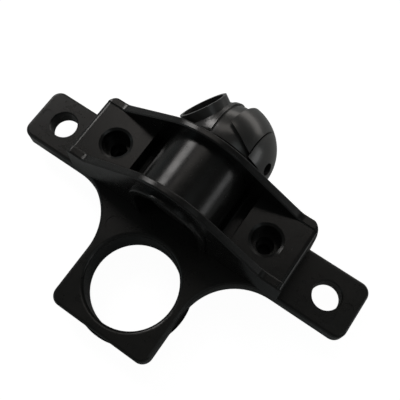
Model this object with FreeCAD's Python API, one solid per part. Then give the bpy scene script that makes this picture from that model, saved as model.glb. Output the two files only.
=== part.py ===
import FreeCAD, Part
import math
import os

V = FreeCAD.Vector

# Power cord holder: a flat bracket, a saddle clamp on top of it and a ball-ended swivel cord outlet
# whose neck turns in the tunnel of the saddle. Millimetres. The mounting face is z = 0, x runs
# along the bracket's ears and y points to the ball. The origin is midway between the ear holes.

# Bracket
bracket_length = 100.0
ear_width = 15.6
plate_thickness = 4.6
plate_corner = 2.8
plate_edge = 0.8
ear_hole_from_end = 8.5
ear_hole_diameter = 7.3
ear_hole_edge = 0.35
tab_side_wall = 2.7
tab_corner = 2.9
web_radius = 15.8
eye_y = -24.4
eye_diameter = 24.0
eye_edge = 1.0
collar_wall = 3.4
collar_drop = 4.3
collar_draft = 0.7
tab_end_wall = 2.9
bed_overhang = 0.6
bed_corner = 2.0
ejector_mark_depth = 0.12
tab_mark_diameter = 4.6
tab_mark_x = 12.6
tab_mark_y = -14.9
ear_mark_diameter = 2.9
ear_mark_from_end = 2.7

# Saddle clamp
saddle_length = 64.2
saddle_front = 8.1
saddle_rear = 11.9
saddle_front_corner = 0.8
saddle_rear_corner = 4.2
wall_rim = 1.8
wall_draft = 2.0
wall_edge = 0.45
pad_height = 9.0
pad_inner_x = 15.5
pad_end_round = 1.5
rim_rise = 0.3
crest_height = 24.0
crest_radius = 18.0
foot_radius = 3.0
flank_angle = 35.5
barrel_wall = 1.75
lip_height = 0.6
lip_edge = 0.35
valley_floor = 3.1
valley_round = 1.2
core_wall = 2.0
core_roof = 2.4
core_boss_wall = 1.7
core_rib = 1.4
core_corner = 1.0

# Clamp screw holes through the saddle and the bracket
clamp_hole_spacing = 45.2
clamp_hole_y = 1.0
clamp_hole_diameter = 4.6
counterbore_diameter = 7.4
counterbore_depth = 5.2
counterbore_lead = 0.7
counterbore_lead_depth = 0.35
pilot_diameter = 3.3
pilot_floor = 0.8

# Swivel neck and its fit in the tunnel
neck_diameter = 18.6
running_clearance = 0.08
floor_clearance = 0.3
neck_front_y = -5.2
rib_y = 1.4
rib_width = 2.2
rib_depth = 1.2
rib_clearance = 0.3
cord_bore_diameter = 8.4
cord_bore_lead = 0.8

# Swivel ball
ball_diameter = 26.0
ball_offset = 2.25
ball_side = 1.5
ball_gap = 0.3
ball_turn = -6.0
ball_edge = 0.5
cavity_diameter = 21.2
left_skin_step = 1.1
boss_cover = 0.65
cavity_front_wall = 1.8
seam_bead_width = 1.1
seam_bead_height = 0.25
channel_depth = 1.3
panel_corner_x = 3.1
panel_corner_y = 2.0
panel_front_y = -1.4
panel_side_slope = 0.1
mouth_azimuth = -48.0
mouth_elevation = 21.0
mouth_distance = 12.5
spout_wall = 0.9
spout_root = 9.0
mouth_overlap = 0.225
mouth_diameter = 10.8

# End cap and screws of the ball
cap_plane_x = 10.2
cap_gap = 0.15
cap_edge = 0.25
cap_floor = 0.9
cap_spigot_diameter = 9.0
cap_spigot_length = 0.8
cap_spigot_flat = 1.0
cap_spigot_clearance = 0.1
end_wall = 2.0
boss_diameter = 4.4
boss_height = 2.2
cap_screw_z = 2.6
cap_head_diameter = 3.0
cap_head_height = 1.1
cap_shank_diameter = 1.8
shell_screw_places = [(5.9, -4.3), (0.2, -7.3)]
shell_head_diameter = 3.0
shell_head_height = 1.2
shell_shank_diameter = 1.6
shell_screw_seat = 2.6
shell_screw_bite = 3.6
shell_boss_depth = 6.0
head_clearance = 0.1
head_crown = 0.35
cross_reach = 0.9
cross_width = 0.45
cross_depth = 0.6

# Sizes that follow from the ones above
plate_top = plate_thickness
ear_hole_x = bracket_length / 2 - ear_hole_from_end
neck_r = neck_diameter / 2
bore_r = neck_r + running_clearance
axis_z = plate_top + bore_r + floor_clearance
barrel_r = bore_r + barrel_wall
ball_r = ball_diameter / 2
ball_y = saddle_rear + ball_gap + ball_offset
half_saddle = saddle_length / 2
pad_top = plate_top + pad_height
wall_foot = wall_rim + crest_height * math.tan(math.radians(wall_draft))
tab_width = eye_diameter + 2 * tab_side_wall
tab_end_y = eye_y - eye_diameter / 2 - tab_end_wall
counterbore_r = counterbore_diameter / 2
far = 2 * bracket_length


def box(x0, x1, y0, y1, z0, z1):
    return Part.makeBox(x1 - x0, y1 - y0, z1 - z0, V(x0, y0, z0))


def upright(x, y, z0, z1, r):
    return Part.makeCylinder(r, z1 - z0, V(x, y, z0), V(0, 0, 1))


def along_x(x0, x1, y, z, r):
    return Part.makeCylinder(r, x1 - x0, V(x0, y, z), V(1, 0, 0))


def along_y(y0, y1, z, r):
    return Part.makeCylinder(r, y1 - y0, V(0, y0, z), V(0, 1, 0))


def fused(first, *others):
    return first.multiFuse(list(others)).removeSplitter()


def rounded_block(x0, x1, y0, y1, z0, z1, r):
    block = box(x0, x1, y0, y1, z0, z1)
    corners = [e for e in block.Edges if abs(e.BoundBox.ZLength - (z1 - z0)) < 1e-6]
    return block.makeFillet(r, corners)


def level_edges(shape, z):
    return [e for e in shape.Edges if e.BoundBox.ZLength < 1e-4 and abs(e.BoundBox.ZMin - z) < 1e-4]


def prism_xy(points, z0, z1):
    corners = [V(x, y, z0) for x, y in points]
    face = Part.Face(Part.makePolygon(corners + corners[:1]))
    return face.extrude(V(0, 0, z1 - z0))


# Bracket: ears, tab with hollow webs and the bed under the saddle, then the eye's collar

def bracket_blank():
    half_length = bracket_length / 2
    half_ear = ear_width / 2
    half_tab = tab_width / 2
    bed_half = half_saddle - bed_overhang
    ears = rounded_block(-half_length, half_length, -half_ear, half_ear, 0, plate_top, plate_corner)
    tab = rounded_block(-half_tab, half_tab, tab_end_y, half_ear - plate_corner, 0, plate_top, tab_corner)
    bed = rounded_block(-bed_half, bed_half, plate_corner - half_ear, saddle_rear - bed_overhang,
                        0, plate_top, bed_corner)
    web_y = -half_ear - web_radius
    webs = []
    for side in (-1, 1):
        xs = sorted((side * (half_tab - 1), side * (half_tab + web_radius)))
        block = box(xs[0], xs[1], web_y, -half_ear + 1, 0, plate_top)
        webs.append(block.cut(upright(side * (half_tab + web_radius), web_y, -1, plate_top + 1, web_radius)))
    return fused(ears, tab, bed, *webs)


def make_base_plate():
    plate = bracket_blank()
    plate = plate.makeFillet(plate_edge, level_edges(plate, plate_top))
    collar_r = eye_diameter / 2 + collar_wall
    collar = Part.makeCone(collar_r - collar_draft, collar_r, collar_drop, V(0, eye_y, -collar_drop))
    collar = collar.makeChamfer(plate_edge, level_edges(collar, -collar_drop))
    plate = fused(plate, collar)
    holes = [upright(0, eye_y, -collar_drop - 1, plate_top + 1, eye_diameter / 2)]
    for side in (-1, 1):
        holes.append(upright(side * ear_hole_x, 0, -1, plate_top + 1, ear_hole_diameter / 2))
    plate = plate.cut(holes)
    eye_rim = [e for e in level_edges(plate, plate_top) if abs(e.BoundBox.XLength - eye_diameter) < 1e-3]
    plate = plate.makeFillet(eye_edge, eye_rim)
    ear_rims = [e for e in level_edges(plate, plate_top)
                if abs(e.BoundBox.XLength - ear_hole_diameter) < 1e-3]
    plate = plate.makeChamfer(ear_hole_edge, ear_rims)
    mark_z = plate_top - ejector_mark_depth
    cuts = []
    for side in (-1, 1):
        clamp_x = side * clamp_hole_spacing / 2
        ear_mark_x = side * (bracket_length / 2 - ear_mark_from_end)
        cuts.append(upright(clamp_x, clamp_hole_y, pilot_floor, plate_top + 1, pilot_diameter / 2))
        cuts.append(upright(side * tab_mark_x, tab_mark_y, mark_z, plate_top + 1, tab_mark_diameter / 2))
        cuts.append(upright(ear_mark_x, 0, mark_z, plate_top + 1, ear_mark_diameter / 2))
    return plate.cut(cuts)


# Saddle: strap with two pads, a valley beside the barrel and a bell-shaped wall at the front and rear

def bell_outline(round_end):
    # Half of the outline from the crest down to the end: crest arc, straight flank, foot arc, end.
    a = math.radians(flank_angle)
    crest_z = plate_top + crest_height
    centre_z = crest_z - crest_radius
    crest_end = V(crest_radius * math.sin(a), 0, centre_z + crest_radius * math.cos(a))
    crest_mid = V(crest_radius * math.sin(a / 2), 0, centre_z + crest_radius * math.cos(a / 2))
    end_z = pad_top + rim_rise
    line = crest_end.x * math.sin(a) + crest_end.z * math.cos(a)
    foot_x = (line + foot_radius * (1 - math.cos(a)) - end_z * math.cos(a)) / math.sin(a)
    foot_start = V(foot_x - foot_radius * math.sin(a), 0, end_z + foot_radius * (1 - math.cos(a)))
    foot_mid = V(foot_x - foot_radius * math.sin(a / 2), 0, end_z + foot_radius * (1 - math.cos(a / 2)))
    foot_end = V(foot_x, 0, end_z)
    turn_start = V(half_saddle - round_end, 0, end_z)
    turn_mid = V(half_saddle - round_end + round_end * math.sin(math.pi / 4), 0,
                 end_z - round_end * (1 - math.cos(math.pi / 4)))
    side_top = V(half_saddle, 0, end_z - round_end)
    crest = V(0, 0, crest_z)
    foot = V(half_saddle, 0, plate_top)
    middle = V(0, 0, plate_top)
    edges = [Part.Arc(crest, crest_mid, crest_end).toShape(),
             Part.makeLine(crest_end, foot_start),
             Part.Arc(foot_start, foot_mid, foot_end).toShape(),
             Part.makeLine(foot_end, turn_start),
             Part.Arc(turn_start, turn_mid, side_top).toShape(),
             Part.makeLine(side_top, foot),
             Part.makeLine(foot, middle),
             Part.makeLine(middle, crest)]
    return Part.Face(Part.Wire(edges))


def bell_wall(y_outer, y_inner):
    half = bell_outline(pad_end_round).extrude(V(0, y_inner - y_outer, 0))
    other = half.mirror(V(0, 0, 0), V(1, 0, 0))
    wall = fused(half, other)
    wall.translate(V(0, y_outer, 0))
    wall = wall.cut(draft_wedge(y_outer, y_inner))
    rims = []
    for e in wall.Edges:
        b = e.BoundBox
        runs_along_wall = b.XLength > 0.5
        above_base = b.ZMin > plate_top + 0.5
        if runs_along_wall and above_base:
            rims.append(e)
    return wall.makeFillet(wall_edge, rims)


def draft_wedge(y_outer, y_inner):
    # Sliver that leans a wall's outer face inwards as it rises.
    side = math.copysign(1, y_outer - y_inner)
    rise = 2 * crest_height
    lean = rise * math.tan(math.radians(wall_draft))
    top_z = plate_top + rise
    profile = [V(-far, y_outer, plate_top),
               V(-far, y_outer - side * lean, top_z),
               V(-far, y_outer + side * wall_foot, top_z),
               V(-far, y_outer + side * wall_foot, plate_top)]
    face = Part.Face(Part.makePolygon(profile + profile[:1]))
    return face.extrude(V(2 * far, 0, 0))


def strap_blank():
    # Pads, valley floors and barrel as one bar between the two walls.
    inset = wall_foot / 2
    y0 = -saddle_front + inset
    y1 = saddle_rear - inset
    floor_z = plate_top + valley_floor
    pieces = [box(-half_saddle + 1, half_saddle - 1, y0, y1, plate_top, floor_z)]
    for side in (-1, 1):
        xs = sorted((side * pad_inner_x, side * half_saddle))
        pad = box(xs[0], xs[1], y0, y1, plate_top, pad_top)
        end = [e for e in level_edges(pad, pad_top) if abs(e.BoundBox.XMin - side * half_saddle) < 1e-4
               and e.BoundBox.XLength < 1e-4]
        pieces.append(pad.makeFillet(pad_end_round, end))
    barrel = along_y(y0, y1, axis_z, barrel_r)
    legs = box(-barrel_r, barrel_r, y0, y1, plate_top, axis_z)
    strap = fused(barrel, legs, *pieces)
    valley = []
    for e in level_edges(strap, floor_z):
        x = abs(e.BoundBox.XMin)
        if e.BoundBox.XLength < 1e-4 and (abs(x - pad_inner_x) < 1e-3 or abs(x - barrel_r) < 1e-3):
            valley.append(e)
    return strap.makeFillet(valley_round, valley)


def pad_core(side):
    # Hollow under a pad, with a boss round the clamp screw and a rib from the boss to the end.
    xs = sorted((side * (pad_inner_x + core_wall), side * (half_saddle - core_wall)))
    y0 = -saddle_front + core_wall
    y1 = saddle_rear - core_wall
    roof = pad_top - core_roof
    clamp_x = side * clamp_hole_spacing / 2
    hollow = rounded_block(xs[0], xs[1], y0, y1, plate_top - 1, roof, core_corner)
    boss = upright(clamp_x, clamp_hole_y, plate_top - 2, roof + 1, counterbore_r + core_boss_wall)
    rib_x = sorted((clamp_x, side * half_saddle))
    rib = box(rib_x[0], rib_x[1], clamp_hole_y - core_rib / 2, clamp_hole_y + core_rib / 2,
              plate_top - 2, roof + 1)
    return hollow.cut([boss, rib])


def screw_well(side):
    clamp_x = side * clamp_hole_spacing / 2
    hole = upright(clamp_x, clamp_hole_y, 0, pad_top + 1, clamp_hole_diameter / 2)
    bore = upright(clamp_x, clamp_hole_y, pad_top - counterbore_depth, pad_top + 1, counterbore_r)
    lead = Part.makeCone(counterbore_r, counterbore_r + counterbore_lead, counterbore_lead_depth,
                         V(clamp_x, clamp_hole_y, pad_top - counterbore_lead_depth), V(0, 0, 1))
    return [hole, bore, lead]


def tunnel():
    bore = along_y(-far, far, axis_z, bore_r)
    way_in = box(-bore_r, bore_r, -far, far, plate_top - 1, axis_z)
    return fused(bore, way_in)


def tunnel_lip():
    # The barrel's end stands a little proud of the front wall, down to the bracket.
    y0 = -saddle_front - lip_height
    arch = along_y(y0, 0, axis_z, barrel_r).common(box(-far, far, y0, 0, axis_z, far))
    legs = box(-barrel_r, barrel_r, y0, 0, plate_top, axis_z)
    lip = fused(arch, legs)
    edge = [e for e in lip.Edges if e.BoundBox.YLength < 1e-4 and e.BoundBox.YMax < -saddle_front
            and e.BoundBox.ZMax > axis_z - 1e-3]
    return lip.makeFillet(lip_edge, edge)


def retaining_rib():
    # Half ring in the roof of the tunnel that keeps the neck from sliding out.
    outer = along_y(rib_y, rib_y + rib_width, axis_z, bore_r + barrel_wall / 2)
    inner = along_y(rib_y - 1, rib_y + rib_width + 1, axis_z, bore_r - rib_depth)
    upper = box(-far, far, rib_y - 1, rib_y + rib_width + 1, axis_z, axis_z + far)
    return outer.cut(inner).common(upper)


def saddle_plan():
    # Plan block with tight front corners and generous rear corners, taller than the saddle.
    top_z = plate_top + 2 * crest_height
    front = rounded_block(-half_saddle, half_saddle, -saddle_front, saddle_rear, plate_top, top_z,
                          saddle_front_corner)
    rear = rounded_block(-half_saddle, half_saddle, -saddle_front, saddle_rear, plate_top, top_z,
                         saddle_rear_corner)
    front = front.common(box(-far, far, -far, clamp_hole_y, 0, far))
    rear = rear.common(box(-far, far, clamp_hole_y, far, 0, far))
    return fused(front, rear)


def make_saddle():
    front = bell_wall(-saddle_front, -saddle_front + wall_foot)
    rear = bell_wall(saddle_rear, saddle_rear - wall_foot)
    saddle = fused(strap_blank(), front, rear)
    saddle = fused(saddle.common(saddle_plan()), tunnel_lip())
    saddle = saddle.cut(tunnel())
    saddle = fused(saddle, retaining_rib())
    cuts = []
    for side in (-1, 1):
        cuts.append(pad_core(side))
    saddle = saddle.cut(cuts)
    wells = []
    for side in (-1, 1):
        wells.extend(screw_well(side))
    return saddle.cut(wells).removeSplitter()


# Swivel ball, drawn with its centre at the origin and its seam in the plane x = 0, then turned and placed

def placed(shape):
    shape.rotate(V(0, 0, 0), V(0, 1, 0), ball_turn)
    shape.translate(V(0, ball_y, axis_z))
    return shape


def ball_sphere(r):
    return Part.makeSphere(r, V(ball_side, 0, 0), V(1, 0, 0))


def ball_front(shape):
    return shape.common(box(-far, far, -ball_offset, far, -far, far))


def mouth_direction():
    az = math.radians(mouth_azimuth)
    el = math.radians(mouth_elevation)
    return V(math.sin(az) * math.cos(el), math.sin(el), math.cos(az) * math.cos(el))


def seam_bead(skin_r):
    return ball_sphere(skin_r + seam_bead_height).common(
        box(-seam_bead_width, 0, ball_edge - ball_offset, far, -far, far))


def mouth_tube(start, end, radius):
    direction = mouth_direction()
    return Part.makeCylinder(radius, end - start, V(ball_side, 0, 0) + direction * start, direction)


def swivel_blank(skin_r, x0, x1, added=()):
    # Ball and neck between two planes beside the seam, hollow inside, with what one half carries outside.
    side = box(x0, x1, -far, far, -far, far)
    neck_start = neck_front_y - ball_y
    ball = ball_front(ball_sphere(skin_r))
    front_rim = [e for e in ball.Edges if e.BoundBox.YLength < 1e-4]
    ball = ball.makeFillet(ball_edge, front_rim)
    neck = along_y(neck_start, 0, 0, neck_r)
    groove_start = rib_y - rib_clearance - ball_y
    groove_end = rib_y + rib_width + rib_clearance - ball_y
    groove = along_y(groove_start, groove_end, 0, neck_r + 1)
    groove = groove.cut(along_y(groove_start, groove_end, 0, bore_r - rib_depth - rib_clearance))
    bore = along_y(neck_start - 1, cavity_front_wall, 0, cord_bore_diameter / 2)
    lead = Part.makeCone(cord_bore_diameter / 2 + cord_bore_lead, cord_bore_diameter / 2, cord_bore_lead,
                         V(0, neck_start, 0), V(0, 1, 0))
    room = box(-far, cap_plane_x - end_wall, cavity_front_wall - ball_offset, far, -far, far)
    cavity = ball_sphere(cavity_diameter / 2).common(room)
    mouth_r = mouth_diameter / 2
    mouth_start = math.sqrt((cavity_diameter / 2) ** 2 - mouth_r ** 2) - mouth_overlap
    way_out = mouth_tube(mouth_start, mouth_start + far, mouth_r)
    body = fused(ball.common(side), neck.common(side))
    if added:
        body = fused(body, *added)
    return body.cut([groove, bore, lead, cavity, way_out])


def screw_bosses(x0, x1, skin_r):
    inside = ball_sphere(skin_r - boss_cover)
    posts = [along_x(x0, x1, y, z, boss_diameter / 2) for y, z in shell_screw_places]
    return [inside.common(post) for post in posts]


def make_left_shell():
    skin_r = ball_r - left_skin_step
    spout = ball_front(mouth_tube(spout_root, mouth_distance, mouth_diameter / 2 + spout_wall))
    half = swivel_blank(skin_r, -far, 0, [seam_bead(skin_r), spout])
    bored = [along_x(-shell_screw_bite - 2 * head_clearance, 1, y, z, shell_shank_diameter / 2)
             for y, z in shell_screw_places]
    shell = fused(half, *screw_bosses(-shell_boss_depth, 0, skin_r)).cut(bored)
    return placed(shell)


def raised_panel():
    # Plan of the grip panel that stands proud of the right shell's channel.
    reach = ball_r + ball_side + 1
    side_x = panel_corner_x + panel_side_slope * (reach - panel_corner_y)
    corner = (panel_corner_x, panel_corner_y)
    plan = [corner, (cap_plane_x, panel_front_y), (reach, panel_front_y), (reach, reach), (side_x, reach)]
    return prism_xy(plan, -reach, reach)


def cap_spigot(x0, x1, clearance):
    # Round spigot of the end cap with a flat on the side of the ball's front.
    flat_y = cap_spigot_flat - ball_offset - clearance
    return along_x(x0, x1, 0, 0, cap_spigot_diameter / 2 + clearance).common(
        box(-far, far, flat_y, far, -far, far))


def make_right_shell():
    half = swivel_blank(ball_r, 0, cap_plane_x)
    skin = ball_front(ball_sphere(ball_r + 1).cut(ball_sphere(ball_r - channel_depth)))
    half = half.cut(skin.cut(raised_panel()))
    boss_start = cap_plane_x - end_wall - boss_height
    cap_boss = along_x(boss_start, cap_plane_x - end_wall / 2, 0, cap_screw_z, boss_diameter / 2)
    shell = fused(half, cap_boss, *screw_bosses(0, cap_plane_x, ball_r))
    cuts = [cap_spigot(cap_plane_x - cap_spigot_length, far, cap_spigot_clearance),
            along_x(boss_start - 1, far, 0, cap_screw_z, cap_shank_diameter / 2)]
    for y, z in shell_screw_places:
        cuts.append(along_x(-1, far, y, z, shell_shank_diameter / 2))
        cuts.append(along_x(shell_screw_seat, far, y, z, shell_head_diameter / 2 + head_clearance))
    return placed(shell.cut(cuts))


def make_end_cap():
    base_x = cap_plane_x + cap_gap
    cap = ball_sphere(ball_r).common(box(base_x, far, -far, far, -far, far))
    rim = [e for e in cap.Edges if abs(e.BoundBox.XMin - base_x) < 1e-4 and e.BoundBox.XLength < 1e-4]
    cap = ball_front(cap.makeChamfer(cap_edge, rim))
    spigot = cap_spigot(cap_plane_x - cap_spigot_length, base_x + cap_floor / 2, 0)
    hole = along_x(0, far, 0, cap_screw_z, cap_shank_diameter / 2 + head_clearance)
    well = along_x(base_x + cap_floor, far, 0, cap_screw_z, cap_head_diameter / 2 + head_clearance)
    return placed(fused(cap, spigot).cut([hole, well]))


def pan_screw(seat_x, tip_x, y, z, head_r, head_height, shank_r):
    head = along_x(seat_x, seat_x + head_height, y, z, head_r)
    crown = [e for e in head.Edges if abs(e.BoundBox.XMin - seat_x - head_height) < 1e-4]
    head = head.makeChamfer(head_crown, crown)
    shank = along_x(tip_x, seat_x + head_height / 2, y, z, shank_r)
    slot_x = seat_x + head_height - cross_depth
    half_width = cross_width / 2
    cross = []
    for across, along in ((half_width, cross_reach), (cross_reach, half_width)):
        cross.append(box(slot_x, seat_x + 2 * head_height, y - across, y + across, z - along, z + along))
    return fused(head, shank).cut(cross)


def make_cap_screw():
    seat_x = cap_plane_x + cap_gap + cap_floor
    tip_x = cap_plane_x - end_wall - boss_height + head_clearance
    return placed(pan_screw(seat_x, tip_x, 0, cap_screw_z, cap_head_diameter / 2, cap_head_height,
                            cap_shank_diameter / 2))


def make_shell_screws():
    screws = [pan_screw(shell_screw_seat, -shell_screw_bite, y, z, shell_head_diameter / 2,
                        shell_head_height, shell_shank_diameter / 2) for y, z in shell_screw_places]
    return placed(Part.makeCompound(screws))


nodes = {
    "base_plate": make_base_plate,
    "saddle_clamp": make_saddle,
    "swivel_left_shell": make_left_shell,
    "swivel_right_shell": make_right_shell,
    "swivel_end_cap": make_end_cap,
    "cap_screw": make_cap_screw,
    "shell_screws": make_shell_screws,
}

os.makedirs("parts", exist_ok=True)
for name, make in nodes.items():
    shape = make()
    print(name, "valid", shape.isValid(), "solids", len(shape.Solids), "volume", round(shape.Volume, 1))
    shape.exportStep("parts/" + name + ".step")
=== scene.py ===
import math

import bpy
from mathutils import Matrix, Vector

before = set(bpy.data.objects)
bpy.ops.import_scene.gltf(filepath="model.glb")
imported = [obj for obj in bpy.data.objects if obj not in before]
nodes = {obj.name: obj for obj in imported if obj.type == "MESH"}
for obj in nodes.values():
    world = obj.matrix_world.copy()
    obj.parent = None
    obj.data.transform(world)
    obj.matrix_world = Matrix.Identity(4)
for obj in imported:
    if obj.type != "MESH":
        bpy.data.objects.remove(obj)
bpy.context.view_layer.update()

mm = 0.001
print("stage: frame loaded,", len(nodes), "pieces")


def linearColour(hexText):
    # sRGB hex text to the linear colour that a shader socket takes
    out = []
    for i in (1, 3, 5):
        c = int(hexText[i:i + 2], 16) / 255
        out.append(c / 12.92 if c <= 0.04045 else ((c + 0.055) / 1.055) ** 2.4)
    return (*out, 1.0)


def addNode(tree, kind, settings=None, links=None):
    # one node: settings are its own options or its sockets' values, links are sockets that feed it
    node = tree.nodes.new(kind)
    for key, value in (settings or {}).items():
        if isinstance(key, str) and hasattr(node, key):
            setattr(node, key, value)
        else:
            node.inputs[key].default_value = value
    for key, source in (links or {}).items():
        tree.links.new(source, node.inputs[key])
    return node


def newMaterial(name):
    material = bpy.data.materials.new(name)
    material.use_nodes = True
    material.node_tree.nodes.clear()
    return material, material.node_tree


# Black nylon, injection moulded: near-black with a soft sheen, a fine even grain from the spark-eroded
# mould, faint flow marks and patches that shine a little more where it has been handled. The ball comes
# from a polished mould, and a thin clear coat stands for that skin. The ball's paler base colours are
# painted light: the same black nylon, made lighter to stand in for the stronger light that falls on the
# ball.
def mouldedNylon(name, look):
    material, tree = newMaterial(name)
    place = addNode(tree, "ShaderNodeTexCoord")
    flow = addNode(tree, "ShaderNodeTexNoise",
                   {"Scale": 1 / (look["flowMm"] * mm), "Detail": look["flowDetail"], "Roughness": 0.55},
                   {"Vector": place.outputs["Object"]})
    grain = addNode(tree, "ShaderNodeTexNoise",
                    {"Scale": 1 / (look["grainMm"] * mm), "Detail": 2.0, "Roughness": 0.6},
                    {"Vector": place.outputs["Object"]})
    rubbed = addNode(tree, "ShaderNodeTexNoise",
                     {"Scale": 1 / (look["rubMm"] * mm), "Detail": 5.0, "Roughness": 0.7},
                     {"Vector": place.outputs["Object"]})
    colour = addNode(tree, "ShaderNodeValToRGB", None, {"Fac": flow.outputs["Fac"]})
    low, high = look["mottleRange"]
    for stop, position, shade in zip(colour.color_ramp.elements, (low, high), ("dark", "pale")):
        stop.position = position
        stop.color = linearColour(look[shade])
    sheen = addNode(tree, "ShaderNodeMapRange",
                    {"From Min": low, "From Max": high,
                     "To Min": look["roughness"] - look["roughnessSpread"],
                     "To Max": look["roughness"] + look["roughnessSpread"]},
                    {"Value": rubbed.outputs["Fac"]})
    relief = addNode(tree, "ShaderNodeBump",
                     {"Strength": look["grainStrength"], "Distance": look["grainDepthMm"] * mm},
                     {"Height": grain.outputs["Fac"]})
    waves = addNode(tree, "ShaderNodeBump",
                    {"Strength": look["flowStrength"], "Distance": look["flowDepthMm"] * mm},
                    {"Height": flow.outputs["Fac"], "Normal": relief.outputs["Normal"]})
    skin = addNode(tree, "ShaderNodeBsdfPrincipled",
                   {"IOR": look["ior"], "Coat Weight": look["coat"],
                    "Coat Roughness": look["coatRoughness"]},
                   {"Base Color": colour.outputs["Color"], "Roughness": sheen.outputs["Result"],
                    "Normal": waves.outputs["Normal"]})
    addNode(tree, "ShaderNodeOutputMaterial", None, {"Surface": skin.outputs["BSDF"]})
    return material


bracketLook = {
    "dark": "#202120",
    "pale": "#292826",
    "mottleRange": (0.35, 0.7),
    "flowMm": 9.0,
    "flowDetail": 3.0,
    "flowStrength": 0.15,
    "flowDepthMm": 0.05,
    "grainMm": 0.35,
    "grainStrength": 0.08,
    "grainDepthMm": 0.02,
    "rubMm": 3.0,
    "roughness": 0.30,
    "roughnessSpread": 0.04,
    "ior": 1.5,
    "coat": 0.0,
    "coatRoughness": 0.2,
}
saddleLook = dict(bracketLook, roughness=0.24, dark="#1c1d1c", pale="#232221")
# painted light: the ball's dark and pale are lighter than the other nylon's, standing in for the light it
# catches
ballPaintedLightLook = dict(bracketLook, roughness=0.33, ior=1.6, coat=0.8, dark="#333332", pale="#3e3d3b")

nylonBracket = mouldedNylon("mouldedNylonBracket", bracketLook)
nylonSaddle = mouldedNylon("mouldedNylonSaddle", saddleLook)
nylonBall = mouldedNylon("mouldedNylonBall", ballPaintedLightLook)


# Steel screw, cold headed and chemically blackened: dark, a little oily, with paler worn high spots.
screwLook = {
    "black": "#1c1c1e",
    "worn": "#55534f",
    "wornMm": 0.5,
    "wornRange": (0.5, 0.75),
    "roughnessRange": (0.30, 0.50),
    "metallic": 0.85,
}


def blackenedSteel(name, look):
    material, tree = newMaterial(name)
    place = addNode(tree, "ShaderNodeTexCoord")
    worn = addNode(tree, "ShaderNodeTexNoise",
                   {"Scale": 1 / (look["wornMm"] * mm), "Detail": 4.0},
                   {"Vector": place.outputs["Object"]})
    colour = addNode(tree, "ShaderNodeValToRGB", None, {"Fac": worn.outputs["Fac"]})
    for stop, position, shade in zip(colour.color_ramp.elements, look["wornRange"], ("black", "worn")):
        stop.position = position
        stop.color = linearColour(look[shade])
    smooth, dull = look["roughnessRange"]
    rough = addNode(tree, "ShaderNodeMapRange",
                    {"To Min": smooth, "To Max": dull},
                    {"Value": worn.outputs["Fac"]})
    skin = addNode(tree, "ShaderNodeBsdfPrincipled", {"Metallic": look["metallic"]},
                   {"Base Color": colour.outputs["Color"], "Roughness": rough.outputs["Result"]})
    addNode(tree, "ShaderNodeOutputMaterial", None, {"Surface": skin.outputs["BSDF"]})
    return material


steelScrew = blackenedSteel("blackenedSteel", screwLook)

finishes = {
    "base_plate": nylonBracket,
    "saddle_clamp": nylonSaddle,
    "swivel_left_shell": nylonBall,
    "swivel_right_shell": nylonBall,
    "swivel_end_cap": nylonBall,
    "cap_screw": steelScrew,
    "shell_screws": steelScrew,
}
for name, material in finishes.items():
    for slot in nodes[name].material_slots:
        slot.material = material
print("stage: materials")

# Studio: softboxes stand at an azimuth (0 is the rear, 90 the right) and an elevation, both in degrees, and
# face the piece from the studio's reach in metres. Their sizes are metres and their power is watts.
studio = {
    "floorZ": -4.3 * mm,
    "floorSize": 4.0,
    "paperWhite": "#f4f4f4",
    "paperShare": 0.3,
    "paperGlow": 1.38,
    "roomFloor": "#d4d6d6",
    "reach": 1.0,
    # the room from the horizon up: (sine of elevation, sRGB colour)
    "air": ((0.0, "#7a7d7e"), (0.35, "#565857"), (0.59, "#3a3c3c"), (0.82, "#3a3b3b"), (1.0, "#444443")),
}
softboxes = {
    "keySoftbox": {
        "azimuth": 295, "elevation": 38, "size": (0.26, 0.34),
        "power": 1.35, "colour": "#fffcfa",
    },
    "rearStrip": {
        "azimuth": 0, "elevation": 13, "size": (1.30, 0.34),
        "power": 1.4, "colour": "#fff9f4",
    },
    "rearTop": {
        "azimuth": 335, "elevation": 60, "size": (0.60, 0.36),
        "power": 0.52, "colour": "#fff8f2",
    },
    "rightStrip": {
        "azimuth": 73, "elevation": 11, "size": (0.50, 0.26),
        "power": 0.45, "colour": "#ffffff",
    },
    "rightFill": {
        "azimuth": 90, "elevation": 58, "size": (0.40, 0.40),
        "power": 0.2, "colour": "#f4feff",
    },
    "frontFill": {
        "azimuth": 235, "elevation": 25, "size": (0.60, 0.30),
        "power": 0.24, "colour": "#e4fbff",
    },
}


def addSoftbox(name, look):
    light = bpy.data.lights.new(name, "AREA")
    light.shape = "RECTANGLE"
    light.size, light.size_y = look["size"]
    light.energy = look["power"]
    light.color = linearColour(look["colour"])[:3]
    box = bpy.data.objects.new(name, light)
    turn, rise = math.radians(look["azimuth"]), math.radians(look["elevation"])
    away = Vector((math.sin(turn) * math.cos(rise), math.cos(turn) * math.cos(rise), math.sin(rise)))
    box.location = away * studio["reach"]
    box.rotation_euler = away.to_track_quat("Z", "Y").to_euler()
    bpy.context.scene.collection.objects.link(box)


for name, look in softboxes.items():
    addSoftbox(name, look)

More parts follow.
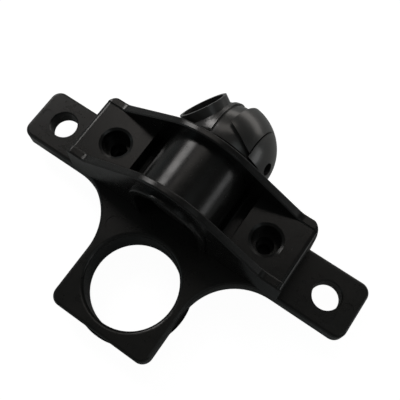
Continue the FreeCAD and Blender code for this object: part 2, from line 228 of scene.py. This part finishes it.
world = bpy.data.worlds.new("studioRoom")
bpy.context.scene.world = world
world.use_nodes = True
tree = world.node_tree
tree.nodes.clear()
around = addNode(tree, "ShaderNodeTexCoord")
parts = addNode(tree, "ShaderNodeSeparateXYZ", None, {"Vector": around.outputs["Generated"]})
air = addNode(tree, "ShaderNodeValToRGB", None, {"Fac": parts.outputs["Z"]})
stops = air.color_ramp.elements
while len(stops) < len(studio["air"]):
    stops.new(1.0)
for stop, (sine, colour) in zip(stops, studio["air"]):
    stop.position = sine
    stop.color = linearColour(colour)
path = addNode(tree, "ShaderNodeLightPath")
seen = addNode(tree, "ShaderNodeMix", {"data_type": "RGBA", 7: (1.0, 1.0, 1.0, 1.0)},
               {"Factor": path.outputs["Is Camera Ray"], 6: air.outputs["Color"]})
sky = addNode(tree, "ShaderNodeBackground", {"Strength": 1.0}, {"Color": seen.outputs[2]})
addNode(tree, "ShaderNodeOutputWorld", None, {"Surface": sky.outputs["Background"]})

half = studio["floorSize"] / 2
corners = [(x * half, y * half, 0) for x, y in ((-1, -1), (1, -1), (1, 1), (-1, 1))]
floorMesh = bpy.data.meshes.new("paperFloor")
floorMesh.from_pydata(corners, [], [(0, 1, 2, 3)])
floor = bpy.data.objects.new("paperFloor", floorMesh)
floor.location = (0, 0, studio["floorZ"])
bpy.context.scene.collection.objects.link(floor)
# White paper to the camera: part of it glows so that it reaches white, and part keeps the piece's faint
# shadow. What bounces up to the piece comes from plain pale paper that only the lamps and the room light.
paper, tree = newMaterial("whitePaper")
path = addNode(tree, "ShaderNodeLightPath")
white = addNode(tree, "ShaderNodeBsdfDiffuse", {"Color": linearColour(studio["paperWhite"])})
glow = addNode(tree, "ShaderNodeEmission", {"Color": (1.0, 1.0, 1.0, 1.0), "Strength": studio["paperGlow"]})
shown = addNode(tree, "ShaderNodeMixShader", {0: 1 - studio["paperShare"]},
                {1: white.outputs["BSDF"], 2: glow.outputs["Emission"]})
bounce = addNode(tree, "ShaderNodeBsdfDiffuse", {"Color": linearColour(studio["roomFloor"])})
mixed = addNode(tree, "ShaderNodeMixShader", None,
                {0: path.outputs["Is Camera Ray"], 1: bounce.outputs["BSDF"], 2: shown.outputs["Shader"]})
addNode(tree, "ShaderNodeOutputMaterial", None, {"Surface": mixed.outputs["Shader"]})
floorMesh.materials.append(paper)
print("stage: studio")

# Camera, placed from the plate's corners and hole centres
view = {
    "place": (0.03601, -0.03967, 0.15377),
    "right": (0.8208, 0.5706, -0.0256),
    "up": (-0.5289, 0.7762, 0.3432),
    "lensMm": 55.14,
    "sensorMm": 36.0,
}
right = Vector(view["right"]).normalized()
up = Vector(view["up"])
up = (up - right * up.dot(right)).normalized()
back = right.cross(up)
turn = Matrix((right, up, back)).transposed()
lens = bpy.data.cameras.new("photoCamera")
lens.sensor_width = view["sensorMm"]
lens.lens = view["lensMm"]
lens.clip_start = 0.01
lens.clip_end = 20.0
camera = bpy.data.objects.new("photoCamera", lens)
camera.matrix_world = Matrix.Translation(view["place"]) @ turn.to_4x4()
bpy.context.scene.collection.objects.link(camera)
bpy.context.scene.camera = camera
bpy.context.scene.view_settings.view_transform = "Standard"
print("stage: camera")
